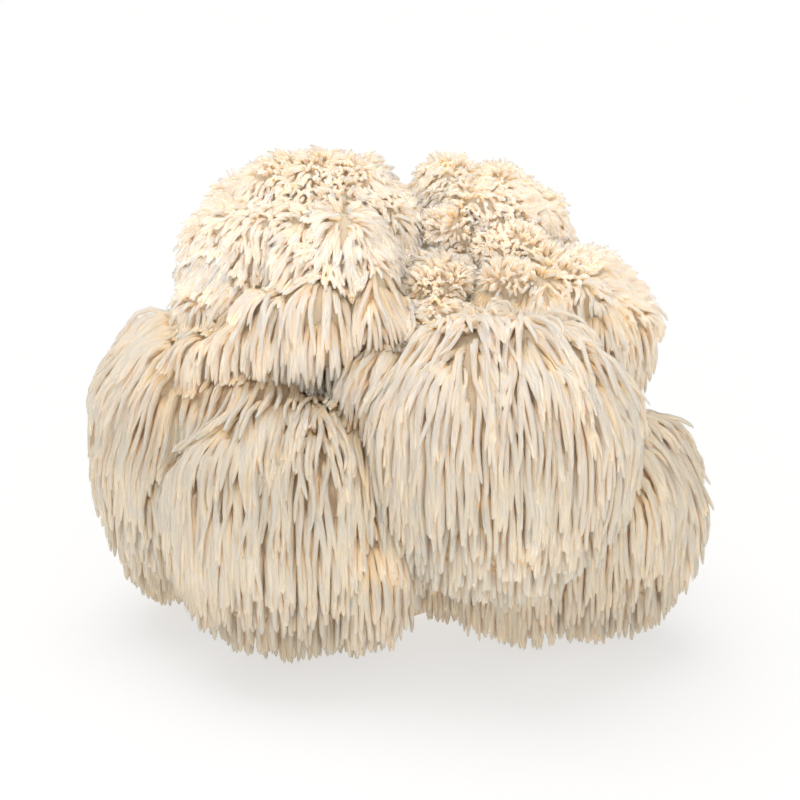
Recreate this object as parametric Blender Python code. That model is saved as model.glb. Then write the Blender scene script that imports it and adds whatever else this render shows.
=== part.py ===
"""A lion's mane mushroom: rounded lobes grown into one head, clothed in hanging spines."""

import math
import random

import bmesh
import bpy
from mathutils import Matrix, Vector, noise

OBJECT_NAME = "lions_mane_mushroom"
BODY_NAME = "fruiting_body"

# Each lobe with its spines, in metres from the middle of the cut face: its name, its centre, its radii
# (across, deep, up, down) and the power of its lower half's curve, which is fuller above 2
LOBES = (
    ("left_front", (-0.024, -0.066, 0.057), (0.046, 0.042, 0.039, 0.053), 2.3),
    ("left_inner", (-0.002, -0.062, 0.046), (0.026, 0.040, 0.042, 0.041), 2.6),
    ("centre_front", (0.045, -0.078, 0.088), (0.048, 0.042, 0.036, 0.061), 2.1),
    ("far_left", (-0.070, -0.022, 0.066), (0.029, 0.042, 0.048, 0.061), 1.9),
    ("right_low", (0.078, -0.044, 0.054), (0.042, 0.042, 0.034, 0.053), 2.3),
    ("low_middle", (0.052, -0.046, 0.037), (0.028, 0.038, 0.040, 0.036), 3.2),
    ("gap_inner", (0.028, -0.034, 0.036), (0.022, 0.026, 0.034, 0.034), 2.8),
    ("upper_left", (-0.020, -0.008, 0.128), (0.048, 0.044, 0.041, 0.046), 2.3),
    ("upper_side", (-0.046, -0.022, 0.112), (0.024, 0.032, 0.032, 0.034), 2.3),
    ("cascade_top", (-0.010, -0.042, 0.132), (0.025, 0.026, 0.022, 0.028), 2.2),
    ("cascade_right", (0.003, -0.055, 0.119), (0.015, 0.022, 0.019, 0.017), 2.3),
    ("cascade_middle", (-0.014, -0.056, 0.115), (0.019, 0.022, 0.023, 0.024), 2.3),
    ("cascade_dip", (-0.030, -0.051, 0.110), (0.017, 0.022, 0.022, 0.016), 2.3),
    ("cascade_left", (-0.042, -0.048, 0.107), (0.015, 0.021, 0.022, 0.016), 2.3),
    ("shoulder", (-0.054, -0.042, 0.102), (0.014, 0.020, 0.022, 0.019), 2.3),
    ("centre_shoulder", (0.008, -0.066, 0.097), (0.018, 0.022, 0.018, 0.036), 2.3),
    ("left_back", (-0.034, -0.042, 0.080), (0.036, 0.034, 0.030, 0.040), 2.3),
    ("upper_right", (0.075, -0.024, 0.106), (0.029, 0.037, 0.031, 0.040), 2.3),
    ("upper_hump", (-0.005, 0.006, 0.148), (0.014, 0.016, 0.020, 0.020), 2.0),
    ("back_top", (0.044, 0.006, 0.135), (0.032, 0.036, 0.028, 0.036), 2.3),
    ("back_hump", (0.029, 0.004, 0.148), (0.015, 0.018, 0.019, 0.020), 2.0),
    ("saddle", (0.024, -0.020, 0.122), (0.026, 0.028, 0.018, 0.030), 2.0),
    ("front_saddle", (0.022, -0.050, 0.108), (0.024, 0.022, 0.018, 0.026), 2.0),
    ("ridge", (0.061, -0.038, 0.121), (0.026, 0.022, 0.015, 0.024), 2.0),
    ("back_left", (-0.032, 0.024, 0.070), (0.047, 0.040, 0.058, 0.058), 2.5),
    ("back_right", (0.058, 0.022, 0.064), (0.046, 0.040, 0.056, 0.056), 2.5),
    ("heart", (0.012, -0.024, 0.063), (0.054, 0.050, 0.056, 0.056), 2.5),
)

# Small tufts of short spines in the hollow between the upper lobes
TUFTS = (
    ("tuft_back", (0.028, -0.016, 0.140), (0.013, 0.013, 0.011, 0.012), 2.0),
    ("tuft_top", (0.049, -0.024, 0.136), (0.015, 0.014, 0.012, 0.013), 2.0),
    ("tuft_front", (0.024, -0.040, 0.127), (0.013, 0.012, 0.009, 0.010), 2.0),
    ("tuft_right", (0.070, -0.032, 0.129), (0.015, 0.014, 0.010, 0.011), 2.0),
    ("tuft_ridge", (0.053, -0.042, 0.127), (0.015, 0.012, 0.009, 0.010), 2.0),
)

# The stub where the mushroom was cut from its log
BASE_RADIUS = 0.030
BASE_TOP_RADIUS = 0.038
BASE_HEIGHT = 0.040
BASE_TRIM = 0.001

# The ground that trims the stub and the lowest spines
GROUND_SIZE = 0.400
GROUND_DEPTH = 0.100

# A lock of spines: how wide it is at its root and how long it is
LOCK_WIDTH = 0.0130
LOCK_LENGTH = 0.0220
TUFT_LOCK = 0.0058
TUFT_LENGTH = 0.0045

# How far spines stand out from the flesh at a lobe's side, top and bottom
LOBE_STANDS = (0.0060, 0.0035, 0.0110)
TUFT_STANDS = (0.0030, 0.0030, 0.0030)

# How a lock is combed: its lift off the flesh and sideways lean, as parts of its way down
SIDE_LIFT = 0.25
TOP_LIFT = 0.90
LEAN = 0.08
LEVEL_TOP = 0.3

# How much shorter a lock is on top of a lobe and under it, and how far its length varies
TOP_LOSS = 0.75
UNDER_LOSS = 0.45
LENGTH_RANGE = (0.80, 1.10)

# The flesh under the locks
LUMP_SIZE = 0.040
LUMP_HEIGHT = 0.0020
UNEVEN = 0.0006

# How far under another lobe's flesh a face carries no lock, and below 0 how far above it
LOBE_HIDDEN = -0.0060
TUFT_HIDDEN = 0.0015
SEED = 6


def clear_scene():
    for obj in list(bpy.data.objects):
        bpy.data.objects.remove(obj, do_unlink=True)


def new_collection(name, hidden=False):
    collection = bpy.data.collections.new(name)
    bpy.context.scene.collection.children.link(collection)
    collection.hide_render = hidden
    return collection


def flesh_material():
    material = bpy.data.materials.new("spine_flesh")
    material.use_nodes = True
    shader = material.node_tree.nodes["Principled BSDF"]
    shader.inputs["Base Color"].default_value = (0.82, 0.70, 0.52, 1.0)
    shader.inputs["Roughness"].default_value = 0.55
    shader.inputs["Metallic"].default_value = 0.0
    return material


def lobe_level(way, fullness):
    """How far out a point is in a lobe of radius 1 at the origin, which has 1 all over its surface."""
    power = fullness if way.z < 0 else 2.0
    return (way.xy.length ** power + abs(way.z) ** power) ** (1.0 / power)


def lobe_size(radii, way):
    """The lobe's radii on the side where a point is, above its centre or below it."""
    return Vector((radii[0], radii[1], radii[3] if way.z < 0 else radii[2]))


def depth_inside(point, centre, radii, fullness):
    """How far a point is under a lobe's surface, roughly, and negative outside."""
    way = point - Vector(centre)
    size = lobe_size(radii, way)
    scaled = Vector([part / radius for part, radius in zip(way, size)])
    return (1.0 - lobe_level(scaled, fullness)) * min(size)


def flesh_radii(radii, stands):
    """The radii of a lobe's flesh inside its spines, which stand out by these lengths."""
    side, above, below = stands
    return (radii[0] - side, radii[1] - side, radii[2] - above, radii[3] - below)


def buried(point, own_name, hidden):
    """Whether a point is deeper than this in the flesh of another lobe or in a tuft."""
    others = [form for name, *form in TUFTS if name != own_name]
    for name, centre, radii, fullness in LOBES:
        if name != own_name:
            others.append((centre, flesh_radii(radii, LOBE_STANDS), fullness))
    return any(depth_inside(point, *form) > hidden for form in others)


def round_cube(bm, cells):
    """A cube of square cells blown up into a unit sphere, each row half a cell round from the row above."""
    bmesh.ops.create_cube(bm, size=2.0)
    bmesh.ops.subdivide_edges(bm, edges=bm.edges, cuts=cells - 1, use_grid_fill=True)
    for vert in bm.verts:
        row = round((1.0 - vert.co.z) * cells / 2)
        vert.co = Vector([math.tan(c * math.pi / 4) for c in vert.co]).normalized()
        vert.co.rotate(Matrix.Rotation(row * math.pi / (4 * cells), 3, "Z"))


def shape_lobe(bm, centre, radii, fullness, chance):
    """Turns the unit sphere into a lobe: full below, lumpy all over and a little uneven."""
    for vert in bm.verts:
        size = lobe_size(radii, vert.co)
        on_lobe = vert.co / lobe_level(vert.co, fullness)
        outward = on_lobe.normalized()
        vert.co = centre + Vector([part * radius for part, radius in zip(on_lobe, size)])
        vert.co += outward * noise.noise(vert.co / LUMP_SIZE) * LUMP_HEIGHT
        vert.co += Vector([chance.uniform(-UNEVEN, UNEVEN) for _ in range(3)])


def lock_tip(vert, centre, length, chance):
    """Moves the middle of a poked face to where its lock ends: combed out and down over the lobe."""
    outward = Vector((0, 0, 0))
    for face in vert.link_faces:
        outward += face.normal
    outward.normalize()
    away = (vert.co - centre) * Vector((1, 1, 0))
    combed = Vector((0, 0, -1)) - outward * outward.dot(Vector((0, 0, -1)))
    if outward.z < 0:
        combed = Vector((0, 0, -1))
    elif combed.length < LEVEL_TOP:
        combed = away.normalized()
    sideways = outward.cross(Vector((0, 0, 1)))
    lean = sideways * chance.uniform(-LEAN, LEAN)
    rise = max(outward.z, 0.0)
    lift = outward * (SIDE_LIFT + (TOP_LIFT - SIDE_LIFT) * rise**3)
    under = max(-outward.z, 0.0)
    reach = length * (1.0 - TOP_LOSS * rise**2 - UNDER_LOSS * under**2) * chance.uniform(*LENGTH_RANGE)
    vert.co += (combed.normalized() + lift + lean).normalized() * reach


def add_locks(bm, name, centre, length, hidden, chance):
    bm.normal_update()
    shown = [f for f in bm.faces if not buried(f.calc_center_median(), name, hidden)]
    middles = bmesh.ops.poke(bm, faces=shown)["verts"]
    bm.normal_update()
    for vert in middles:
        lock_tip(vert, centre, length, chance)


def make_lobe(name, centre, radii, fullness, cell, length, stands, hidden, seed):
    chance = random.Random(seed)
    middle = Vector(centre)
    flesh = flesh_radii(radii, stands)
    cells = max(2, round(math.pi / 2 * sum(flesh) / len(flesh) / cell))
    bm = bmesh.new()
    round_cube(bm, cells)
    shape_lobe(bm, middle, flesh, fullness, chance)
    add_locks(bm, name, middle, length, hidden, chance)
    bmesh.ops.triangulate(bm, faces=bm.faces)
    return bm


def mesh_object(name, bm, collection):
    mesh = bpy.data.meshes.new(name)
    bm.to_mesh(mesh)
    bm.free()
    obj = bpy.data.objects.new(name, mesh)
    collection.objects.link(obj)
    return obj


def make_base(collection):
    bm = bmesh.new()
    bmesh.ops.create_cone(
        bm,
        cap_ends=True,
        segments=28,
        radius1=BASE_RADIUS,
        radius2=BASE_TOP_RADIUS,
        depth=BASE_HEIGHT,
    )
    bmesh.ops.translate(bm, vec=(0, 0, BASE_HEIGHT / 2 - BASE_TRIM), verts=bm.verts)
    return mesh_object("base_stub", bm, collection)


def make_ground_cutter(collection):
    """A block whose top face is the ground, where the base and the lowest spines end."""
    bm = bmesh.new()
    bmesh.ops.create_cube(bm, size=1.0)
    bmesh.ops.scale(bm, vec=(GROUND_SIZE, GROUND_SIZE, GROUND_DEPTH), verts=bm.verts)
    bmesh.ops.translate(bm, vec=(0, 0, -GROUND_DEPTH / 2), verts=bm.verts)
    return mesh_object("ground_cutter", bm, collection)


def shells_of(bm):
    """The closed shells of faces, smallest first. Shells that only touch at an edge are apart."""
    shells = []
    left = set(bm.faces)
    while left:
        shell = {left.pop()}
        rim = list(shell)
        while rim:
            edges = [edge for edge in rim.pop().edges if len(edge.link_faces) == 2]
            near = {face for edge in edges for face in edge.link_faces} & left
            left -= near
            shell |= near
            rim.extend(near)
        shells.append(shell)
    return sorted(shells, key=len)


def fill_closed_gaps(mesh):
    """Removes the walls of each gap shut in between lobes, which makes it solid flesh."""
    bm = bmesh.new()
    bm.from_mesh(mesh)
    for shell in shells_of(bm)[:-1]:
        bmesh.ops.delete(bm, geom=list(shell), context="FACES")
    bmesh.ops.triangulate(bm, faces=bm.faces)
    bm.to_mesh(mesh)
    bm.free()


def add_boolean(obj, operation, collection=None, cutter=None):
    modifier = obj.modifiers.new(operation.lower(), "BOOLEAN")
    modifier.operation = operation
    modifier.solver = "EXACT"
    if collection:
        modifier.operand_type = "COLLECTION"
        modifier.collection = collection
    else:
        modifier.object = cutter


def make_body(parts, helpers, cutters):
    lock = (LOCK_WIDTH, LOCK_LENGTH, LOBE_STANDS, LOBE_HIDDEN)
    tuft_lock = (TUFT_LOCK, TUFT_LENGTH, TUFT_STANDS, TUFT_HIDDEN)
    body = mesh_object(BODY_NAME, make_lobe(*LOBES[0], *lock, SEED), parts)
    for index, lobe in enumerate(LOBES[1:], 1):
        mesh_object(lobe[0], make_lobe(*lobe, *lock, SEED + index), helpers)
    for index, tuft in enumerate(TUFTS, len(LOBES)):
        mesh_object(tuft[0], make_lobe(*tuft, *tuft_lock, SEED + index), helpers)
    make_base(helpers)
    ground = make_ground_cutter(cutters)
    for helper in list(helpers.objects) + [ground]:
        helper.display_type = "WIRE"
        helper.hide_render = True
    add_boolean(body, "UNION", collection=helpers)
    add_boolean(body, "DIFFERENCE", cutter=ground)
    bpy.context.view_layer.update()
    evaluated = body.evaluated_get(bpy.context.evaluated_depsgraph_get())
    joined = bpy.data.meshes.new_from_object(evaluated)
    body.modifiers.clear()
    body.data = joined
    body.data.name = BODY_NAME
    fill_closed_gaps(body.data)
    return body


def main():
    clear_scene()
    parts = new_collection(OBJECT_NAME)
    helpers = new_collection("lobe_shapes", hidden=True)
    cutters = new_collection("cutters", hidden=True)
    body = make_body(parts, helpers, cutters)
    body.data.materials.clear()
    body.data.materials.append(flesh_material())


main()
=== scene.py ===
"""A lion's mane mushroom: lobes of pale flesh clothed in hanging spines, resting on its cut face."""

import math
from collections import namedtuple

import bpy
import numpy as np
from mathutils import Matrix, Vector


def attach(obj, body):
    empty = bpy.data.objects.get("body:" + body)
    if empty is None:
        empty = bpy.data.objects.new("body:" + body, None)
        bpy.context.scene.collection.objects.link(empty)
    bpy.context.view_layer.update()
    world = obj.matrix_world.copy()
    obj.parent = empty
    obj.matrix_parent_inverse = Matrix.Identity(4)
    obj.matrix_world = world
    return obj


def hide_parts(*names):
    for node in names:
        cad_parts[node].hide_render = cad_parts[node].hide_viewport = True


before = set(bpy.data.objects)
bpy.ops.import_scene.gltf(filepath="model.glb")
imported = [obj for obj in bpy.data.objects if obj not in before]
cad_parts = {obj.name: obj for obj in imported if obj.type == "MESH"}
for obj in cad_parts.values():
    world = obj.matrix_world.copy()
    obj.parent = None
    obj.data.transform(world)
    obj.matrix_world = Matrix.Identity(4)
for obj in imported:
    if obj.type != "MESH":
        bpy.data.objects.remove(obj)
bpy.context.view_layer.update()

MM = 0.001
BODY = "root"
NODE = "fruiting_body"

Lobe = namedtuple("Lobe", "centre radii fullness hang crown thick thin crest spread")

# A crest that no part of a lobe reaches, for the lobes whose long spines hang from the very top
NO_CREST = 1.50

# Each lobe in millimetres from the middle of the cut face: its centre at its widest level, its outer radii
# with its spines (across, deep, up, down), how square it is below (2 is an ellipsoid), how long its spines
# are on its sides and on its crown, their radius there, how far up its curly crown begins (0 is its side,
# 1 its top), and how widely its spines are spread
LOBES = {
    "left_front": Lobe((-24, -66, 57), (46, 42, 39, 53), 2.3, 38.0, 10.0, 1.00, 0.90, NO_CREST, 1.0),
    "left_inner": Lobe((-2, -62, 46), (26, 40, 47, 41), 2.6, 34.0, 9.0, 0.98, 0.85, NO_CREST, 1.0),
    "centre_front": Lobe((45, -78, 88), (48, 42, 36, 61), 2.1, 40.0, 9.0, 1.00, 0.82, NO_CREST, 1.0),
    "far_left": Lobe((-70, -22, 66), (29, 42, 48, 61), 1.9, 34.0, 10.0, 0.98, 0.85, NO_CREST, 1.0),
    "right_low": Lobe((78, -44, 54), (42, 42, 34, 53), 2.3, 34.0, 10.0, 0.98, 0.85, NO_CREST, 1.0),
    "low_middle": Lobe((52, -46, 37), (28, 38, 40, 36), 3.2, 26.0, 9.0, 0.94, 0.85, NO_CREST, 1.0),
    "gap_inner": Lobe((28, -34, 36), (22, 26, 34, 34), 2.8, 24.0, 9.0, 0.94, 0.85, NO_CREST, 1.0),
    "upper_left": Lobe((-20, -8, 128), (48, 44, 41, 46), 2.3, 20.0, 7.5, 0.76, 0.68, 0.20, 1.0),
    "upper_side": Lobe((-46, -22, 112), (24, 32, 32, 34), 2.3, 22.0, 8.0, 0.80, 0.70, 0.25, 1.0),
    "cascade_top": Lobe((-10, -42, 132), (25, 26, 22, 28), 2.2, 24.0, 10.0, 0.80, 0.70, 0.20, 1.0),
    "cascade_right": Lobe((3, -55, 119), (15, 22, 19, 17), 2.3, 26.0, 9.0, 0.90, 0.74, NO_CREST, 1.0),
    "cascade_middle": Lobe((-14, -56, 115), (19, 22, 23, 24), 2.3, 32.0, 9.0, 0.94, 0.74, NO_CREST, 1.0),
    "cascade_dip": Lobe((-30, -51, 110), (17, 22, 19, 16), 2.3, 26.0, 9.0, 0.92, 0.74, NO_CREST, 1.0),
    "cascade_left": Lobe((-42, -48, 107), (15, 21, 16, 16), 2.3, 26.0, 9.0, 0.92, 0.74, NO_CREST, 1.0),
    "shoulder": Lobe((-54, -42, 102), (14, 20, 14, 19), 2.3, 28.0, 9.0, 0.92, 0.74, NO_CREST, 1.0),
    "centre_shoulder": Lobe((7, -65, 97), (19, 22, 18, 37), 2.3, 30.0, 10.0, 0.95, 0.86, NO_CREST, 1.0),
    "left_back": Lobe((-34, -42, 80), (36, 34, 30, 40), 2.3, 26.0, 9.0, 1.00, 0.80, NO_CREST, 1.4),
    "upper_right": Lobe((75, -24, 106), (29, 37, 31, 40), 2.3, 16.0, 7.0, 0.78, 0.68, 0.30, 1.0),
    "upper_hump": Lobe((-3, 6, 148), (17, 16, 20, 20), 2.0, 10.0, 6.0, 0.72, 0.66, 0.05, 1.0),
    "back_top": Lobe((44, 6, 135), (32, 36, 28, 36), 2.3, 12.0, 6.0, 0.74, 0.66, 0.05, 1.0),
    "back_hump": Lobe((28, 4, 148), (18, 18, 19, 20), 2.0, 10.0, 6.0, 0.72, 0.66, 0.05, 1.0),
    "saddle": Lobe((24, -20, 122), (26, 28, 18, 30), 2.0, 10.0, 6.5, 0.74, 0.66, 0.10, 1.0),
    "front_saddle": Lobe((23, -49, 109), (27, 22, 18, 26), 2.0, 16.0, 7.5, 0.76, 0.66, 0.30, 1.0),
    "ridge": Lobe((60, -38, 121), (30, 22, 15, 24), 2.0, 16.0, 7.0, 0.76, 0.66, 0.30, 1.0),
    "back_left": Lobe((-32, 24, 70), (47, 40, 58, 58), 2.5, 32.0, 10.0, 1.25, 1.00, 0.65, 1.6),
    "back_right": Lobe((58, 22, 64), (46, 40, 56, 56), 2.5, 32.0, 10.0, 1.25, 1.00, 0.65, 1.6),
    "heart": Lobe((12, -24, 63), (54, 50, 56, 56), 2.5, 22.0, 9.0, 1.10, 0.90, 0.60, 1.8),
}
TUFTS = {
    "tuft_back": Lobe((28, -16, 140), (13, 13, 11, 12), 2.0, 5.2, 4.6, 0.64, 0.62, 0.00, 1.0),
    "tuft_top": Lobe((49, -24, 136), (15, 14, 12, 13), 2.0, 4.6, 4.2, 0.64, 0.62, 0.00, 1.0),
    "tuft_front": Lobe((24, -40, 127), (13, 12, 9, 10), 2.0, 5.0, 4.6, 0.64, 0.62, 0.00, 1.0),
    "tuft_right": Lobe((70, -32, 129), (15, 14, 10, 11), 2.0, 5.2, 4.8, 0.64, 0.62, 0.00, 1.0),
    "tuft_ridge": Lobe((53, -42, 127), (15, 12, 9, 10), 2.0, 5.2, 4.6, 0.64, 0.62, 0.00, 1.0),
}

# How far the spines stand out from the flesh at the sides, above and below, in millimetres
LOBE_STANDS = (6.0, 3.5, 11.0)
TUFT_STANDS = (3.0, 3.0, 3.0)

# The seed of everything that is drawn by chance
SEED = 3

# Swellings of the flesh, as their spacing and height in millimetres: broad ones all over, and closer ones
# that begin at one level and grow to their full height over the next millimetres
BROAD_LUMPS = (34.0, 1.0)
CLOSE_LUMPS = (18.0, 0.9)
CLOSE_FROM = 95.0
CLOSE_OVER = 25.0

# The flesh, with the cone-shaped stub where the mushroom was cut from its log, in millimetres
FLESH_VOXEL = 2.2
STUB_RADIUS = 30.0
STUB_TOP_RADIUS = 38.0
STUB_HEIGHT = 39.0
STUB_SIDES = 48
CUT_HEIGHT = 0.4

# Over what distance the ways out of neighbouring lobes run together, along the spines and at their roots
BLEND = 1.5
ROOT_BLEND = 5.0

# Each kind of spine: the rings it is drawn out by, as shares of its length and radius, and its sides
LONG_RINGS = (
    (0.0, 1.25), (0.15, 1.10), (0.38, 1.03), (0.60, 0.98), (0.78, 0.88), (0.90, 0.68), (0.97, 0.38),
)
MIDDLE_RINGS = ((0.0, 1.20), (0.22, 1.06), (0.50, 1.02), (0.76, 0.92), (0.93, 0.60))
SHORT_RINGS = ((0.0, 1.20), (0.36, 1.06), (0.72, 0.96), (0.92, 0.64))
LONG_SIDES = 6
MIDDLE_SIDES = 5
SHORT_SIDES = 5

# Where the spines are rooted: how wide apart the columns are, by a spine's radius, and how far apart two
# roots in a column are, by how long the spines hang; how unevenly, as shares of these; how the columns are
# thinned out towards a lobe's foot and top; and the square millimetres for each spine on a crown and a tuft
COLUMN_SPACING = 2.05
ROW_DROPS = ((12.0, 38.0), (4.4, 8.8))
COLUMN_STRAY = 0.2
ROW_STRAY = 0.3
FOOT_THINNING = 0.4
TOP_THINNING = 0.45
CROWN_CELL = 5.2
TUFT_CELL = 1.8

# A column's outline from top to foot, in degrees from the level, and how many points it is measured by
COLUMN_TOP = 88
COLUMN_FOOT = -90
COLUMN_POINTS = 60

# Roots in millimetres: how far they are sunk, how deep in another lobe they may lie, and how low
ROOT_SINK = 1.0
HIDDEN = 0.5
LOWEST_ROOT = 3.0

# How much the spines' lengths and radii vary, and how much way they have out of the flesh and downhill as
# they leave it, for a hanging one and what an upright one has more or less
LENGTH_SHARES = (0.72, 1.12)
RADIUS_SHARES = (0.82, 1.14)
LEAVING_OUT = (0.5, 0.4)
LEAVING_DOWN = (0.85, -0.7)

# The spines' paths in millimetres: how far long ones stand off the flesh, from which length on a spine is
# long, the least share of that for a short one, over what length a hanging one bends and how much longer an
# upright one takes, how near the flesh and the ground it may come, and how thick the coat of spines is
PATH_STEPS = 14
STANDS = (3.2, 5.4)
LONG_FROM = 24.0
SHORTEST_SHARE = 0.25
SUPPLE = 2.6
UPRIGHT_STIFFNESS = 6.0
SKIN_GAP = 0.3
LOWEST_POINT = 0.35
COAT = 4.6

# How strongly a path is pushed out when it runs too low over the flesh and drawn in when too high, and how
# much thicker the neighbouring lobes seem to it, in millimetres, before each step and after it
PUSH_OUT = 0.30
DRAW_IN = 0.10
SPARE_BEFORE = 1.5
SPARE_AFTER = 1.0

# Where paths end at their lobe's outline: how unevenly, and how far below the lobe's widest level that
# begins, in millimetres, with the least number of steps that is left
END_SCATTER = (-2.5, 1.0)
END_BELOW = 4.0
FEWEST_STEPS = 2.5

# How spines stray: the spacing of the leans that neighbours share, in millimetres, how far spines follow
# these and chance at their roots, then their leans and curls on the way, for neat spines and what tangled
# ones have more, and how far a curl turns over a spine's length
LEAN_SPACING = 11.0
ROOT_LEAN = 0.35
ROOT_SCATTER = 0.60
LEANS = (0.04, 0.12)
CURLS = (0.03, 0.32)
CURL_TURN = 4.5

# The valleys between lobes, where the spines get more painted shade, warmer and darker: how wide they are,
# in millimetres, how much more painted shade the spines in one get, and how many valleys can add up
VALLEY_WIDTH = 4.0
VALLEY_SHADE = 0.34
MOST_VALLEYS = 2.5

# A lobe has long spines when they hang further than this, in millimetres, and are spread less than this
LONG_HANG = 22.0
CLOSE_SPREAD = 1.2

# A spine's strip in its cell of the UV layout, as shares of the cell: its left edge, its width,
# how many turns round the spine that holds, its foot and its height
STRIP_LEFT = 0.08
STRIP_WIDTH = 0.70
STRIP_TURNS = 1.2
STRIP_FOOT = 0.06
STRIP_HEIGHT = 0.88

# Which way the spines on a lobe's level top are pulled, to the right and to the back
SWEEPS = {
    "left_front": (0.0, -0.9),
    "left_inner": (0.0, -0.9),
    "left_back": (-0.2, -0.8),
    "centre_front": (0.05, -0.5),
    "centre_shoulder": (-0.15, -0.6),
    "far_left": (-0.7, -0.3),
    "right_low": (0.6, -0.5),
    "upper_left": (-0.2, -0.2),
    "cascade_right": (0.2, -0.5),
    "cascade_middle": (-0.1, -0.6),
    "cascade_dip": (-0.2, -0.6),
    "cascade_left": (-0.4, -0.5),
    "shoulder": (-0.5, -0.4),
    "upper_right": (0.5, -0.1),
    "back_left": (-0.3, 0.5),
    "back_right": (0.3, 0.5),
}

# Colours, as linear values
# Painted shade: the tan and peach of the spines' roots, deep in the coat, stand in for the shade between
# the spines, tan low down and peach higher up
ROOT_SHADE_TAN = (0.93, 0.755, 0.53, 1.0)
ROOT_SHADE_PEACH = (1.0, 0.85, 0.64, 1.0)
# Painted shade: the flesh shows only in the gaps between the spines, and its dark tan stands in for the
# shade there, passing into peach higher up
FLESH_SHADE_TAN = (0.62, 0.41, 0.23, 1.0)
FLESH_PEACH = (1.0, 0.84, 0.62, 1.0)
CREAM = (0.96, 0.90, 0.825, 1.0)
WARM_CREAM = (0.97, 0.88, 0.75, 1.0)
PALE_CREAM = (0.96, 0.925, 0.885, 1.0)
# Painted shade: the lower spines' beige and the lowest ones' brown darken them towards the bottom
LOW_SHADE_BEIGE = (0.715, 0.665, 0.575, 1.0)
FOOT_SHADE_BROWN = (0.50, 0.42, 0.31, 1.0)
SOFT_LIGHT = (1.0, 0.99, 0.97, 1.0)
FLOOR_WHITE = (0.50, 0.50, 0.50, 1.0)
GLOW_WHITE = (1.0, 1.0, 1.0, 1.0)

# The levels, in metres, between which the colour of the lowest spines passes into that of the hanging ones,
# and this into that of the upper ones: painted shade that darkens the spines towards the bottom
LOW_SHADE_LEVELS = (-0.01, 0.045)
UPPER_LEVELS = (0.065, 0.145)

# How fine the materials' patterns are, in repeats a metre
SPINE_PATCHES = 35.0
SPINE_STREAKS = (1400.0, 1400.0, 160.0)
FLESH_PATCHES = 60.0
FLESH_FIBRES = (500.0, 500.0, 120.0)

# The view: its places and distance in metres, its lens in millimetres
TARGET = (12 * MM, -32 * MM, 84 * MM)
ELEVATION = math.radians(15.0)
DISTANCE = 661 * MM
LENS = 85.0
SENSOR = 36.0

# The light: the world's strength at the level and above, what both sides and the front add to it and how
# narrow the front's is, then a broad soft sun, and the floor's own glow
LEVEL_LIGHT = 0.05
TOP_LIGHT = 0.53
SIDE_LIGHT = 0.06
FRONT_LIGHT = 1.45
FRONT_FOCUS = 8.0
SUN_LIGHT = 0.95
SUN_SPREAD = math.radians(50.0)
SUN_WAY = (-0.15, 0.20, 1.0)
FLOOR_GLOW = 0.61
FLOOR_RADIUS = 12.0


# Modelling helpers


def deselect_all():
    if bpy.context.object and bpy.context.object.mode != "OBJECT":
        bpy.ops.object.mode_set(mode="OBJECT")
    bpy.ops.object.select_all(action="DESELECT")


def apply_modifier(obj, kind, **settings):
    modifier = obj.modifiers.new(kind.lower(), kind)
    for name, value in settings.items():
        setattr(modifier, name, value)
    bpy.context.view_layer.objects.active = obj
    bpy.ops.object.modifier_apply(modifier=modifier.name)


def settle(obj, name):
    """Names a finished piece and writes its place into its mesh."""
    deselect_all()
    obj.select_set(True)
    bpy.context.view_layer.objects.active = obj
    bpy.ops.object.transform_apply(location=True, rotation=True, scale=True)
    obj.name = name
    obj.data.name = name


def declare(piece, material):
    piece.data.materials.clear()
    piece.data.materials.append(material)
    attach(piece, BODY)
    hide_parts(NODE)


# Shader helpers


class Wire:
    """A shader socket that takes part in arithmetic."""

    def __init__(self, graph, socket):
        self.graph = graph
        self.socket = socket

    def __add__(self, other):
        return self.graph.maths("ADD", self, other)

    __radd__ = __add__

    def __mul__(self, other):
        return self.graph.maths("MULTIPLY", self, other)

    __rmul__ = __mul__

    def __sub__(self, other):
        return self.graph.maths("SUBTRACT", self, other)

    def __rsub__(self, other):
        return self.graph.maths("SUBTRACT", other, self)


class Graph:
    """The nodes of a material or of the studio's light."""

    def __init__(self, holder):
        holder.use_nodes = True
        self.holder = holder
        self.tree = holder.node_tree

    def connect(self, value, socket):
        if isinstance(value, Wire):
            self.tree.links.new(value.socket, socket)
        else:
            socket.default_value = value

    def add(self, kind, settings=None, inputs=None, output=0):
        node = self.tree.nodes.new(kind)
        for name, value in (settings or {}).items():
            setattr(node, name, value)
        for name, value in (inputs or {}).items():
            self.connect(value, node.inputs[name])
        return Wire(self, node.outputs[output])

    def maths(self, operation, first, second):
        return self.add("ShaderNodeMath", {"operation": operation}, {0: first, 1: second})

    def ease(self, value, low, high):
        settings = {"interpolation_type": "SMOOTHSTEP"}
        return self.add("ShaderNodeMapRange", settings, {"Value": value, "From Min": low, "From Max": high})

    def mix(self, factor, first, second):
        settings = {"data_type": "RGBA", "clamp_factor": True}
        return self.add("ShaderNodeMix", settings, {0: factor, 6: first, 7: second}, output=2)

    def attribute(self, name):
        return self.add("ShaderNodeAttribute", {"attribute_name": name}, output="Fac")

    def noise(self, place, scale, detail=2.0):
        inputs = {"Vector": place, "Scale": scale, "Detail": detail}
        return self.add("ShaderNodeTexNoise", None, inputs, output="Fac")

    def stretched(self, place, scale):
        return self.add("ShaderNodeMapping", None, {"Vector": place, "Scale": scale})

    def part(self, vector, axis):
        return self.add("ShaderNodeSeparateXYZ", None, {"Vector": vector}, output=axis)

    def height(self, place, levels):
        """How far a place is up from the lower of two levels, 0, to the upper one, 1."""
        return self.ease(self.part(place, "Z"), *levels)

    def finish(self, sockets):
        """Gives the material's shader its values and returns the material."""
        shader = self.tree.nodes["Principled BSDF"]
        shader.subsurface_method = "BURLEY"
        for name, value in sockets.items():
            self.connect(value, shader.inputs[name])
        return self.holder


# The materials


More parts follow.
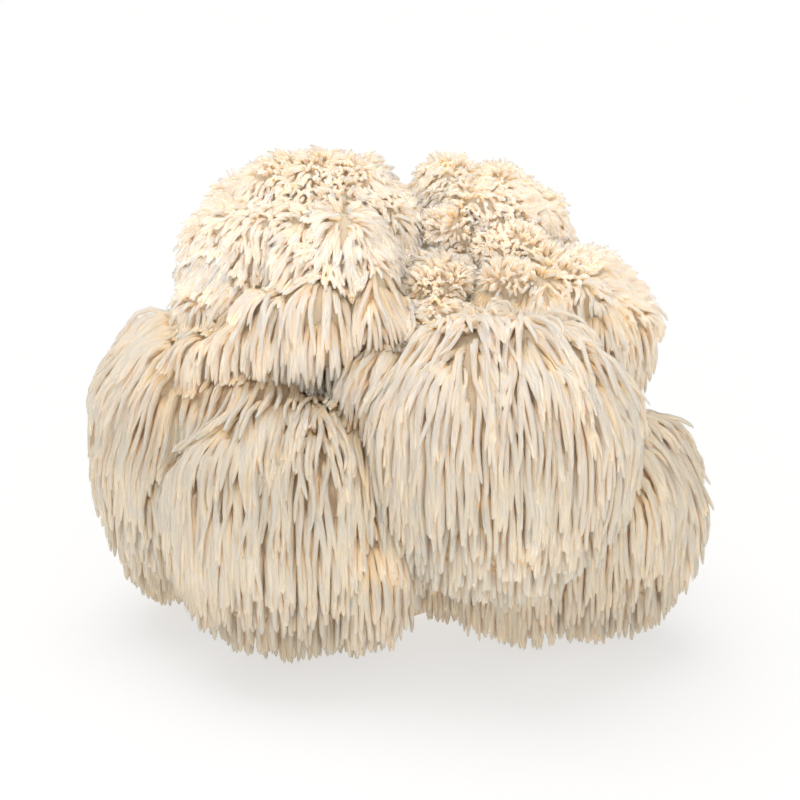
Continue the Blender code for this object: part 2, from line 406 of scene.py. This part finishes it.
def spine_material():
    graph = Graph(bpy.data.materials.new("waxy_spines"))
    outward = graph.attribute("outward")
    tone = graph.attribute("tone")
    place = graph.add("ShaderNodeTexCoord", output="Object")
    # Painted shade: the spines are darker towards the bottom, beige low down and brown at the foot, and
    # paler cream higher up
    upper = graph.height(place, UPPER_LEVELS)
    patches = graph.noise(place, SPINE_PATCHES)
    streaks = graph.noise(graph.stretched(place, SPINE_STREAKS), 1.0)
    shaded_low_body = graph.mix(graph.height(place, LOW_SHADE_LEVELS), FOOT_SHADE_BROWN, LOW_SHADE_BEIGE)
    body = graph.mix(upper, shaded_low_body, graph.mix(tone, PALE_CREAM, CREAM))
    body = graph.mix(graph.ease(patches, 0.42, 0.75) * 0.35, body, WARM_CREAM)
    # Painted shade: where a spine lies deep in the coat, near the flesh or in a valley between lobes, its
    # colour passes into the tan of the root shade
    root = graph.mix(upper, ROOT_SHADE_TAN, ROOT_SHADE_PEACH)
    colour = graph.mix(1.0 - graph.ease(outward, 0.05, 0.50), body, root)
    bump = graph.add("ShaderNodeBump", None, {"Strength": 0.12, "Distance": 0.0004, "Height": streaks})
    return graph.finish({
        "Base Color": colour,
        "Roughness": 0.42 + 0.14 * streaks,
        "Normal": bump,
        "Subsurface Weight": 1.0,
        "Subsurface Radius": (1.0, 0.72, 0.45),
        "Subsurface Scale": 0.0031,
        "Specular IOR Level": 0.42,
    })


def flesh_material():
    graph = Graph(bpy.data.materials.new("warm_flesh"))
    place = graph.add("ShaderNodeTexCoord", output="Object")
    fibres = graph.noise(graph.stretched(place, FLESH_FIBRES), 1.0, detail=4.0)
    patches = graph.noise(place, FLESH_PATCHES)
    # Painted shade: the dark tan flesh stands in for the shade in the gaps between the spines, darker low
    # down than higher up
    colour = graph.mix(graph.ease(fibres, 0.35, 0.7), FLESH_SHADE_TAN, ROOT_SHADE_TAN)
    colour = graph.mix(graph.ease(patches, 0.4, 0.7) * 0.25, colour, WARM_CREAM)
    colour = graph.mix(graph.height(place, UPPER_LEVELS), colour, FLESH_PEACH)
    bump = graph.add("ShaderNodeBump", None, {"Strength": 0.5, "Distance": 0.0008, "Height": fibres})
    return graph.finish({
        "Base Color": colour,
        "Roughness": 0.55 + 0.2 * fibres,
        "Normal": bump,
    })


def floor_material():
    graph = Graph(bpy.data.materials.new("white_floor"))
    return graph.finish({
        "Base Color": FLOOR_WHITE,
        "Roughness": 0.8,
        "Specular IOR Level": 0.1,
        "Emission Color": GLOW_WHITE,
        "Emission Strength": FLOOR_GLOW,
    })


# The lobes' flesh as a field of distances


class Waves:
    """Smooth noise in space: sine waves of about one wavelength in random directions."""

    def __init__(self, chance, wavelength, count=10):
        waves = chance.normal(size=(count, 3))
        waves /= np.linalg.norm(waves, axis=1, keepdims=True)
        self.waves = waves * 2 * math.pi / (wavelength * chance.uniform(0.75, 1.3, (count, 1)))
        self.phases = chance.uniform(0, 2 * math.pi, count)
        self.size = math.sqrt(2 / count)

    def height(self, points):
        return np.sin(points @ self.waves.T + self.phases).sum(axis=1) * self.size

    def slope(self, points):
        return np.cos(points @ self.waves.T + self.phases) @ self.waves * self.size


LUMPS = [Waves(np.random.default_rng(SEED), spacing) for spacing, _ in (BROAD_LUMPS, CLOSE_LUMPS)]


def flesh_of(lobe, stands):
    """The centre, radii and squareness of a lobe's flesh, inside its spines."""
    side, above, below = stands
    across, deep, up, down = lobe.radii
    radii = np.array([across - side, deep - side, up - above, down - below])
    return np.array(lobe.centre), radii, lobe.fullness


FLESH = {name: flesh_of(lobe, LOBE_STANDS) for name, lobe in LOBES.items()}
FLESH.update({name: flesh_of(lobe, TUFT_STANDS) for name, lobe in TUFTS.items()})
NAMES = list(FLESH)


def sized(ways, radii, fullness):
    """A lobe's radii and squareness in each of the ways out from its centre."""
    below = ways[:, 2] < 0
    size = np.empty_like(ways)
    size[:, 0] = radii[0]
    size[:, 1] = radii[1]
    size[:, 2] = np.where(below, radii[3], radii[2])
    return size, np.where(below, fullness, 2.0)


def out_to_surface(ways, radii, fullness):
    """From a lobe's centre to its surface in each of the ways."""
    size, power = sized(ways, radii, fullness)
    level = (np.linalg.norm(ways[:, :2], axis=1) ** power + np.abs(ways[:, 2]) ** power) ** (1 / power)
    return ways / level[:, None] * size


def lobe_distance(points, shape):
    """How far points are outside a lobe, and the way out."""
    centre, radii, fullness = shape
    offset = points - centre
    size, power = sized(offset, radii, fullness)
    local = offset / size
    across = np.maximum(np.linalg.norm(local[:, :2], axis=1), 1e-6)
    high = np.abs(local[:, 2])
    level = np.maximum((across**power + high**power) ** (1 / power), 1e-6)
    slope_across = (across / level) ** (power - 1)
    slope_up = (high / level) ** (power - 1) * np.sign(local[:, 2])
    slope = np.column_stack([local[:, :2] / across[:, None] * slope_across[:, None], slope_up]) / size
    steep = np.maximum(np.linalg.norm(slope, axis=1), 1e-9)
    return (level - 1.0) / steep, slope / steep[:, None]


def lump_heights(points):
    """How high the broad and the close lumps can be at points."""
    rise = np.clip((points[:, 2] - CLOSE_FROM) / CLOSE_OVER, 0, 1)
    return np.full(len(points), BROAD_LUMPS[1]), rise * CLOSE_LUMPS[1]


def lump_height(points):
    return sum(waves.height(points) * height for waves, height in zip(LUMPS, lump_heights(points)))


def lumpy(points, far, out):
    """Swells a field of distances with the lumps."""
    for waves, height in zip(LUMPS, lump_heights(points)):
        out = out - waves.slope(points) * height[:, None]
        far = far - waves.height(points) * height
    return far, out / np.linalg.norm(out, axis=1, keepdims=True)


def clearance(points, own, spare, blend=BLEND):
    """How far points are from the nearest flesh, and the way out of it. Lobes other than the own one seem
    thicker by spare."""
    fars, outs = [], []
    for index, name in enumerate(NAMES):
        far, out = lobe_distance(points, FLESH[name])
        fars.append(far - np.where(own == index, 0.0, spare))
        outs.append(out)
    fars = np.array(fars)
    nearest = fars.min(axis=0)
    shares = np.exp(-(fars - nearest) / blend)
    out = np.einsum("ln,lnc->nc", shares, np.array(outs))
    out /= np.maximum(np.linalg.norm(out, axis=1, keepdims=True), 1e-6)
    return lumpy(points, nearest, out)


# The flesh itself


def make_stub():
    deselect_all()
    bpy.ops.mesh.primitive_cone_add(
        vertices=STUB_SIDES,
        radius1=STUB_RADIUS * MM,
        radius2=STUB_TOP_RADIUS * MM,
        depth=STUB_HEIGHT * MM,
        location=(0, 0, STUB_HEIGHT / 2 * MM),
    )
    return bpy.context.object


def make_flesh_lobe(name):
    """One lobe of flesh: a ball drawn out to its radii."""
    centre, radii, fullness = FLESH[name]
    deselect_all()
    bpy.ops.mesh.primitive_ico_sphere_add(subdivisions=5, radius=1.0)
    ball = bpy.context.object
    ways = np.array([vert.co for vert in ball.data.vertices])
    ball.data.vertices.foreach_set("co", (out_to_surface(ways, radii, fullness) * MM).reshape(-1))
    ball.location = Vector(centre * MM)
    return ball


def swell(flesh):
    """Raises the lumps on the flesh."""
    points = np.array([vert.co for vert in flesh.data.vertices]) / MM
    normals = np.array([vert.normal for vert in flesh.data.vertices])
    points += normals * lump_height(points)[:, None]
    flesh.data.vertices.foreach_set("co", (points * MM).reshape(-1))


def make_flesh(material):
    """All the lobes and the stub grown together, and cut off level at the ground."""
    balls = [make_flesh_lobe(name) for name in NAMES] + [make_stub()]
    deselect_all()
    for ball in balls:
        ball.select_set(True)
    flesh = balls[-1]
    bpy.context.view_layer.objects.active = flesh
    bpy.ops.object.transform_apply(location=True, rotation=True, scale=True)
    bpy.ops.object.join()
    apply_modifier(flesh, "REMESH", mode="VOXEL", voxel_size=FLESH_VOXEL * MM, use_smooth_shade=True)
    apply_modifier(flesh, "SMOOTH", factor=0.5, iterations=2)
    swell(flesh)
    deselect_all()
    flesh.select_set(True)
    bpy.context.view_layer.objects.active = flesh
    bpy.ops.object.mode_set(mode="EDIT")
    bpy.ops.mesh.select_all(action="SELECT")
    bpy.ops.mesh.bisect(
        plane_co=(0, 0, CUT_HEIGHT * MM), plane_no=(0, 0, 1), clear_inner=True, use_fill=True
    )
    bpy.ops.object.mode_set(mode="OBJECT")
    for vert in flesh.data.vertices:
        vert.co.z -= CUT_HEIGHT * MM
    settle(flesh, "flesh")
    declare(flesh, material)


# The spines


def valley(name, points):
    """How deep points lie between a lobe and those next to it, as the number of valleys they are in."""
    others = [shape for other, shape in FLESH.items() if other != name]
    fars = np.array([lobe_distance(points, shape)[0] for shape in others])
    return np.minimum(np.exp(-np.maximum(fars, 0.0) / VALLEY_WIDTH).sum(axis=0), MOST_VALLEYS)


def model_spine(name, rings, sides):
    """One straight spine of unit length, drawn out ring by ring from its closed root to its point."""
    deselect_all()
    bpy.ops.mesh.primitive_circle_add(vertices=sides, radius=rings[0][1], fill_type="NGON")
    spine = bpy.context.object
    bpy.ops.object.mode_set(mode="EDIT")
    bpy.ops.mesh.select_all(action="SELECT")
    bpy.ops.mesh.flip_normals()
    for (low, wide), (high, narrow) in zip(rings, rings[1:]):
        bpy.ops.mesh.extrude_region_move(TRANSFORM_OT_translate={"value": (0, 0, high - low)})
        scale = narrow / wide
        bpy.ops.transform.resize(value=(scale, scale, 1.0))
    bpy.ops.mesh.extrude_region_move(TRANSFORM_OT_translate={"value": (0, 0, 1.0 - rings[-1][0])})
    bpy.ops.mesh.merge(type="CENTER")
    bpy.ops.mesh.select_all(action="SELECT")
    bpy.ops.mesh.normals_make_consistent(inside=False)
    bpy.ops.object.mode_set(mode="OBJECT")
    spine.name = name
    return spine


def on_lobe(ways, shape):
    """The points of a lobe's flesh in the given ways from its centre, without its lumps."""
    centre, radii, fullness = shape
    return centre + out_to_surface(ways, radii, fullness)


def spread_ways(radii, cell, chance):
    """Ways out from a lobe's centre, evenly spread."""
    mean = np.mean(radii)
    count = int(4 * math.pi * mean**2 / cell)
    index = np.arange(count) + 0.5
    high = 1 - 2 * index / count
    turn = math.pi * (1 + math.sqrt(5)) * index
    flat = np.sqrt(1 - high**2)
    ways = np.stack([np.cos(turn) * flat, np.sin(turn) * flat, high], axis=1)
    ways += chance.normal(scale=0.35 * math.sqrt(cell) / mean, size=ways.shape)
    return ways / np.linalg.norm(ways, axis=1, keepdims=True)


def column_ways(radii, lobe, chance):
    """Ways out from a lobe's centre in upright columns, so that the spines hang side by side."""
    girth = math.pi * (radii[0] + radii[1])
    spacing = COLUMN_SPACING * lobe.thick * math.sqrt(lobe.spread)
    drop = np.interp(lobe.hang, *ROW_DROPS) * math.sqrt(lobe.spread)
    columns = int(girth / spacing)
    climbs = np.radians(np.linspace(COLUMN_TOP, COLUMN_FOOT, COLUMN_POINTS))
    width = (radii[0] + radii[1]) / 2
    tall = np.where(climbs < 0, radii[3], radii[2])
    outline = np.stack([np.cos(climbs) * width, np.sin(climbs) * tall], axis=1)
    arc = np.concatenate([[0], np.cumsum(np.linalg.norm(np.diff(outline, axis=0), axis=1))])
    rows = int(arc[-1] / drop)
    row, column = np.meshgrid(np.arange(rows), np.arange(columns))
    row = row.reshape(-1)
    column = column.reshape(-1)
    first = chance.random(columns)[column]
    fall = (row + first + chance.uniform(-ROW_STRAY, ROW_STRAY, len(row))) * drop
    climb = np.interp(fall, arc, climbs)
    turn = 2 * math.pi * (column + chance.uniform(-COLUMN_STRAY, COLUMN_STRAY, len(row))) / columns
    kept = chance.random(len(row)) < np.cos(climb) ** np.where(climb < 0, FOOT_THINNING, TOP_THINNING)
    climb = climb[kept]
    turn = turn[kept]
    return np.stack([np.cos(climb) * np.cos(turn), np.cos(climb) * np.sin(turn), np.sin(climb)], axis=1)


def clear_roots(name, roots):
    """Which roots are outside every other lobe and above the ground."""
    kept = roots[:, 2] > LOWEST_ROOT
    own = NAMES.index(name)
    for index, other in enumerate(NAMES):
        if index != own:
            kept &= lobe_distance(roots, FLESH[other])[0] > (HIDDEN if index < own else -HIDDEN)
    return kept


def downhill(out, sweep):
    """The way down over a surface, pulled aside by sweep where it is level."""
    pull = np.full_like(out, -1.0)
    pull[:, :2] = np.array(sweep) * np.clip(out[:, 2:], 0, 1)
    return pull - out * (pull * out).sum(axis=1, keepdims=True)


def comb_down(normals, sweep):
    """The way down over the surface, of unit length, with a small push aside where the surface is level."""
    combed = downhill(normals, sweep) + 1e-4 * normals[:, [1, 0, 2]]
    return combed / np.linalg.norm(combed, axis=1, keepdims=True)


def lean_over(points, leans):
    return np.stack([lean.height(points) for lean in leans], axis=1)


def leaving_ways(roots, normals, upright, tangle, sweep, leans, chance):
    """The ways in which spines leave their roots: the more upright, the less downhill."""
    ways = normals * (LEAVING_OUT[0] + LEAVING_OUT[1] * upright)[:, None]
    ways = ways + comb_down(normals, sweep) * (LEAVING_DOWN[0] + LEAVING_DOWN[1] * upright)[:, None]
    stray = lean_over(roots, leans) * ROOT_LEAN + chance.normal(scale=ROOT_SCATTER, size=roots.shape)
    ways += stray * tangle[:, None]
    return ways / np.linalg.norm(ways, axis=1, keepdims=True)


def hanging_ways(out, sweep):
    """The ways in which their weight draws spines: down over the flesh, and straight down where it falls
    away beneath them, with how far it does."""
    below = np.clip(-out[:, 2] * 3, 0, 1)
    slide = downhill(out, sweep)
    steep = np.maximum(np.linalg.norm(slide, axis=1, keepdims=True), 0.25)
    hang = slide / steep * (1 - below)[:, None]
    hang[:, 2] -= 0.12 + 0.88 * below
    return hang, below


def grow_paths(roots, normals, own, lengths, upright, tangle, sweep, leans, chance):
    """Each spine's path out of the flesh and down over it: points, and how far out in the coat they are."""
    count = len(roots)
    ways = leaving_ways(roots, normals, upright, tangle, sweep, leans, chance)
    points = roots - normals * ROOT_SINK
    step = lengths / PATH_STEPS
    long_share = np.clip(lengths / LONG_FROM, SHORTEST_SHARE, 1.0)
    stand = chance.uniform(*STANDS, count) * long_share
    supple = SUPPLE + UPRIGHT_STIFFNESS * upright
    bend = 1 - np.exp(-step / supple)
    curls = chance.normal(size=(2, count, 3)) * (CURLS[0] + CURLS[1] * tangle)[:, None]
    outer = SKIN_GAP + COAT * long_share
    path = [np.column_stack([points, np.zeros(count)])]
    for index in range(PATH_STEPS):
        share = (index + 1) / PATH_STEPS
        far, out = clearance(points, own, SPARE_BEFORE)
        hang, below = hanging_ways(out, sweep)
        gap = SKIN_GAP + stand * share**0.8 - far
        hang += out * np.clip(gap * PUSH_OUT, -DRAW_IN * (1 - below), 0.9 - 0.6 * below)[:, None]
        hang += curls[0] * math.cos(CURL_TURN * share) + curls[1] * math.sin(CURL_TURN * share)
        hang += lean_over(points, leans) * (LEANS[0] + LEANS[1] * tangle)[:, None]
        ways = ways + (hang - ways) * bend[:, None]
        ways /= np.linalg.norm(ways, axis=1, keepdims=True)
        points = points + ways * step[:, None]
        far, out = clearance(points, own, SPARE_AFTER)
        points = points + out * np.clip(0.2 + 0.5 * stand * share - far, 0, 1.5)[:, None] * 0.7
        points[:, 2] = np.maximum(points[:, 2], LOWEST_POINT)
        path.append(np.column_stack([points, far / outer]))
    return np.stack(path, axis=1)


def along_paths(path, at):
    """Each path's values at places along it, counted in its steps."""
    low = np.minimum(at.astype(int), path.shape[1] - 2)
    part = (at - low)[:, :, None]
    line = np.arange(len(path))[:, None]
    return path[line, low] * (1 - part) + path[line, low + 1] * part


def trimmed(path, lobe, chance):
    """Ends the paths where they leave their lobe's outline below its widest level, to keep its form."""
    shape = (np.array(lobe.centre), np.array(lobe.radii), lobe.fullness)
    count, steps = path.shape[:2]
    far = lobe_distance(path[:, :, :3].reshape(-1, 3), shape)[0].reshape(count, steps)
    far -= chance.uniform(*END_SCATTER, (count, 1))
    past = (far > 0) & (path[:, :, 2] < lobe.centre[2] - END_BELOW)
    after = np.maximum(past.argmax(axis=1), 1)
    line = np.arange(count)
    before = far[line, after - 1]
    part = np.clip(-before / np.maximum(far[line, after] - before, 1e-6), 0, 1)
    reach = np.where(past.any(axis=1), after - 1 + part, steps - 1)
    return along_paths(path, np.arange(steps) / (steps - 1) * np.maximum(reach, FEWEST_STEPS)[:, None])


def path_sides(path):
    """The ways along each path and across it, which are carried along it without twisting."""
    along = np.gradient(path, axis=1)
    along /= np.maximum(np.linalg.norm(along, axis=2, keepdims=True), 1e-9)
    start = np.cross(along[:, 0], [0.31, 0.17, 0.94])
    sides = [start / np.linalg.norm(start, axis=1, keepdims=True)]
    for index in range(1, path.shape[1]):
        ahead = along[:, index]
        side = sides[-1] - ahead * (sides[-1] * ahead).sum(axis=1, keepdims=True)
        sides.append(side / np.linalg.norm(side, axis=1, keepdims=True))
    return along, np.stack(sides, axis=1)


def bend_copies(spine, path, radii, chance):
    """The spine's vertices copied along every path, how far along it each lies, and how far out."""
    shape = np.array([vert.co for vert in spine.data.vertices])
    shares = np.clip(shape[:, 2], 0, 1)
    at = np.tile(shares * (path.shape[1] - 1), (len(path), 1))
    outward = along_paths(path[:, :, 3:], at)[:, :, 0]
    path = path[:, :, :3]
    along, sides = path_sides(path)
    middle = along_paths(path, at)
    along = along_paths(along, at)
    side = along_paths(sides, at)
    up = np.cross(side, along)
    turn = chance.uniform(0, 2 * math.pi, len(path))[:, None]
    across = (shape[:, 0] * np.cos(turn) - shape[:, 1] * np.sin(turn)) * radii[:, None]
    out = (shape[:, 0] * np.sin(turn) + shape[:, 1] * np.cos(turn)) * radii[:, None]
    return middle + side * across[:, :, None] + up * out[:, :, None], shares, outward


def corner_turns(shape, order, counts):
    """How far round the spine each corner of its faces is, as a share of a turn, with no jump in a face."""
    turns = ((np.arctan2(shape[:, 1], shape[:, 0]) / (2 * math.pi)) % 1.0)[order]
    at = 0
    for count in counts:
        face = turns[at:at + count]
        if face.max() - face.min() > 0.5:
            face[face < 0.5] += 1.0
        at += count
    return turns


def strip_layout(turns, shares, cells, columns):
    """Each copy's place in its UV layout: a strip of its own in one cell of a square grid."""
    u = ((cells % columns)[:, None] + STRIP_LEFT + STRIP_WIDTH * turns[None, :] / STRIP_TURNS) / columns
    v = ((cells // columns)[:, None] + STRIP_FOOT + STRIP_HEIGHT * shares[None, :]) / columns
    return np.stack([u, v], axis=2).reshape(-1, 2)


def joined_mesh(name, groups):
    """One mesh from groups of bent copies."""
    points, starts, corners, outwards, tones, uvs = [], [], [], [], [], []
    point_count = 0
    corner_count = 0
    copy_count = 0
    columns = math.ceil(math.sqrt(sum(len(group[0]) for group in groups)))
    for place, shares, outward, tone, template in groups:
        copies, size = place.shape[:2]
        shape = np.array([vert.co for vert in template.data.vertices])
        polygons = template.data.polygons
        order = np.array([vert for polygon in polygons for vert in polygon.vertices])
        counts = np.array([len(polygon.vertices) for polygon in polygons])
        loops = (order[None, :] + size * np.arange(copies)[:, None] + point_count).reshape(-1)
        begins = np.concatenate([[0], np.cumsum(np.tile(counts, copies))[:-1]]) + corner_count
        turns = corner_turns(shape, order, counts)
        points.append(place.reshape(-1, 3))
        corners.append(loops)
        starts.append(begins)
        outwards.append(outward.reshape(-1))
        tones.append(np.repeat(tone, size))
        uvs.append(strip_layout(turns, shares[order], copy_count + np.arange(copies), columns))
        point_count += copies * size
        corner_count += len(loops)
        copy_count += copies
    points = np.concatenate(points) * MM
    corners = np.concatenate(corners)
    starts = np.concatenate(starts)
    mesh = bpy.data.meshes.new(name)
    mesh.vertices.add(len(points))
    mesh.vertices.foreach_set("co", points.astype(np.float32).reshape(-1))
    mesh.loops.add(len(corners))
    mesh.loops.foreach_set("vertex_index", corners.astype(np.int32))
    mesh.polygons.add(len(starts))
    mesh.polygons.foreach_set("loop_start", starts.astype(np.int32))
    mesh.update(calc_edges=True)
    mesh.polygons.foreach_set("use_smooth", np.ones(len(starts), bool))
    for label, values in (("outward", np.concatenate(outwards)), ("tone", np.concatenate(tones))):
        attribute = mesh.attributes.new(label, "FLOAT", "POINT")
        attribute.data.foreach_set("value", values.astype(np.float32))
    layer = mesh.uv_layers.new(name="OFBake")
    layer.data.foreach_set("uv", np.concatenate(uvs).astype(np.float32).reshape(-1))
    mesh.validate()
    return mesh


Habit = namedtuple("Habit", "length upright tangle thick")
Growth = namedtuple("Growth", "lengths lifts tangles crown_lifts crown_tangles crown_sparseness")

# How a lobe's spines grow, given from its underside or sides to its top: the hanging ones' shares of their
# full length, how they lift and how they tangle, then how those on the crown do, and how sparse these are
FLOWING = Growth(
    lengths=(0.35, 0.55, 0.85, 1.0, 0.95, 0.60),
    lifts=(0.0, 0.12, 0.30),
    tangles=(0.06, 0.08, 0.25, 0.45),
    crown_lifts=(0.1, 0.1, 0.1),
    crown_tangles=(0.15, 0.15),
    crown_sparseness=3,
)
CURLY = Growth(
    lengths=(0.50, 0.80, 1.0, 0.80, 0.62, 0.50),
    lifts=(0.08, 0.30, 0.55),
    tangles=(0.12, 0.42, 0.55, 0.60),
    crown_lifts=(0.20, 0.35, 0.60),
    crown_tangles=(0.50, 0.60),
    crown_sparseness=1,
)

# How far up a flowing lobe the short spines begin that cover the flesh between its long ones
COVERED = 0.88


def grow(name, lobe, roots, normals, habit, spine, leans, chance):
    """Grows one kind of spine from its roots on a lobe and returns its bent copies."""
    count = len(roots)
    rise = normals[:, 2]
    lengths = habit.length(rise) * chance.uniform(*LENGTH_SHARES, count)
    radii = habit.thick(rise) * chance.uniform(*RADIUS_SHARES, count)
    own = np.full(count, NAMES.index(name))
    upright = habit.upright(rise)
    tangle = habit.tangle(rise)
    sweep = SWEEPS.get(name, (0, 0))
    path = grow_paths(roots, normals, own, lengths, upright, tangle, sweep, leans, chance)
    path = trimmed(path, lobe, chance)
    # Painted shade: spines rooted in a valley between lobes count as lying deeper in the coat, so they take
    # more of the tan root shade
    open_share = 1 - VALLEY_SHADE * valley(name, roots)[:, None]
    path[:, :, 3] = np.clip(path[:, :, 3], 0, 1) * open_share
    return *bend_copies(spine, path, radii, chance), chance.random(count), spine


def by_rise(steps, values):
    """A value that changes with how far a root faces up: -1 is straight down, 1 straight up."""
    return lambda rise: np.interp(rise, steps, values)


def rooted(name, ways, keep):
    """Roots on a lobe in the given ways, where they are clear of other lobes and keep says so."""
    roots = on_lobe(ways, FLESH[name])
    roots = roots[clear_roots(name, roots)]
    roots += lobe_distance(roots, FLESH[name])[1] * lump_height(roots)[:, None]
    normals = clearance(roots, np.full(len(roots), NAMES.index(name)), 0.0, ROOT_BLEND)[1]
    kept = keep(normals[:, 2])
    return roots[kept], normals[kept]


def clothe_lobe(name, lobe, spines, leans, chance):
    """A lobe's long hanging spines, and the short ones on its crown."""
    radii = FLESH[name][1]
    curly = lobe.crest < 1
    growth = CURLY if curly else FLOWING
    crest = lobe.crest if curly else COVERED
    hanging = Habit(
        by_rise((-1.0, -0.5, 0.0, 0.4, 0.75, 1.0), lobe.hang * np.array(growth.lengths)),
        by_rise((0.0, 0.5, 1.0), growth.lifts),
        by_rise((-0.2, 0.3, 0.7, 1.0), growth.tangles),
        by_rise((0.0, 1.0), (lobe.thick, (lobe.thick + lobe.thin) / 2)),
    )
    crown = Habit(
        by_rise((crest, 1.0), (lobe.crown * 1.15, lobe.crown * 0.75)),
        by_rise((0.2, 0.7, 1.0), growth.crown_lifts),
        by_rise((0.0, 0.8), growth.crown_tangles),
        by_rise((-1.0, 1.0), (lobe.thin, lobe.thin)),
    )

    def below_crest(rise):
        return rise < lobe.crest + chance.uniform(-0.1, 0.3, len(rise))

    def above_crest(rise):
        return rise > crest + chance.uniform(-0.3, 0.1, len(rise))

    hanging_roots = rooted(name, column_ways(radii, lobe, chance), below_crest)
    cell = CROWN_CELL * lobe.thin**2 * lobe.spread * growth.crown_sparseness
    crown_roots = rooted(name, spread_ways(radii, cell, chance), above_crest)
    long_spine = spines["long" if lobe.hang > LONG_HANG and lobe.spread < CLOSE_SPREAD else "middle"]
    return [
        grow(name, lobe, *hanging_roots, hanging, long_spine, leans, chance),
        grow(name, lobe, *crown_roots, crown, spines["short"], leans, chance),
    ]


def clothe_tuft(name, lobe, spines, leans, chance):
    """A tuft's short spines, standing out all over it."""
    habit = Habit(
        by_rise((-1.0, 1.0), (lobe.hang, lobe.crown)),
        by_rise((-1.0, 1.0), (0.9, 1.1)),
        by_rise((-1.0, 1.0), (0.40, 0.40)),
        by_rise((-1.0, 1.0), (lobe.thick, lobe.thin)),
    )
    roots = rooted(name, spread_ways(FLESH[name][1], TUFT_CELL, chance), lambda rise: rise > -0.7)
    return [grow(name, lobe, *roots, habit, spines["short"], leans, chance)]


def make_spines(material):
    """All the spines, as one joined piece for each lobe and one for the tufts."""
    spines = {
        "long": model_spine("long_spine", LONG_RINGS, LONG_SIDES),
        "middle": model_spine("middle_spine", MIDDLE_RINGS, MIDDLE_SIDES),
        "short": model_spine("short_spine", SHORT_RINGS, SHORT_SIDES),
    }
    chance = np.random.default_rng(SEED)
    leans = [Waves(chance, LEAN_SPACING) for _ in range(3)]
    pieces = {}
    for name, lobe in LOBES.items():
        pieces["spines_" + name] = clothe_lobe(name, lobe, spines, leans, chance)
    pieces["spines_tufts"] = []
    for name, lobe in TUFTS.items():
        pieces["spines_tufts"] += clothe_tuft(name, lobe, spines, leans, chance)
    for name, groups in pieces.items():
        piece = bpy.data.objects.new(name, joined_mesh(name, groups))
        bpy.context.scene.collection.objects.link(piece)
        declare(piece, material)
    for spine in spines.values():
        bpy.data.objects.remove(spine, do_unlink=True)


# The studio


def make_floor(material):
    deselect_all()
    bpy.ops.mesh.primitive_circle_add(vertices=64, radius=FLOOR_RADIUS, fill_type="NGON")
    floor = bpy.context.object
    floor.name = "floor"
    floor.data.materials.append(material)


def make_sun():
    light = bpy.data.lights.new("key", "SUN")
    light.energy = SUN_LIGHT
    light.angle = SUN_SPREAD
    lamp = bpy.data.objects.new("key", light)
    lamp.rotation_euler = Vector(SUN_WAY).to_track_quat("Z", "Y").to_euler()
    bpy.context.scene.collection.objects.link(lamp)


def make_world():
    """Soft light: bright from above and from the front, dim from the level, a little more at both sides."""
    world = bpy.data.worlds.new("studio")
    graph = Graph(world)
    way = graph.add("ShaderNodeTexCoord", output="Generated")
    across, deep, up = [graph.part(way, axis) for axis in "XYZ"]
    climb = {"Value": up, "From Min": 0.0, "From Max": 0.9, "To Min": LEVEL_LIGHT, "To Max": TOP_LIGHT}
    strength = graph.add("ShaderNodeMapRange", None, climb) + across * across * SIDE_LIGHT
    front = graph.maths("MAXIMUM", up * math.sin(ELEVATION) - deep * math.cos(ELEVATION), 0.0)
    strength += graph.maths("POWER", front, FRONT_FOCUS) * FRONT_LIGHT
    background = graph.tree.nodes["Background"]
    graph.connect(strength, background.inputs["Strength"])
    graph.connect(SOFT_LIGHT, background.inputs["Color"])
    bpy.context.scene.world = world


def make_studio():
    make_world()
    make_sun()
    make_floor(floor_material())
    bpy.context.scene.view_settings.view_transform = "Standard"


def make_camera():
    data = bpy.data.cameras.new("camera")
    data.lens = LENS
    data.sensor_width = SENSOR
    camera = bpy.data.objects.new("camera", data)
    target = Vector(TARGET)
    back = Vector((0, -math.cos(ELEVATION), math.sin(ELEVATION)))
    camera.location = target + back * DISTANCE
    camera.rotation_euler = (-back).to_track_quat("-Z", "Y").to_euler()
    bpy.context.scene.collection.objects.link(camera)
    bpy.context.scene.camera = camera


make_camera()
make_flesh(flesh_material())
make_spines(spine_material())
make_studio()
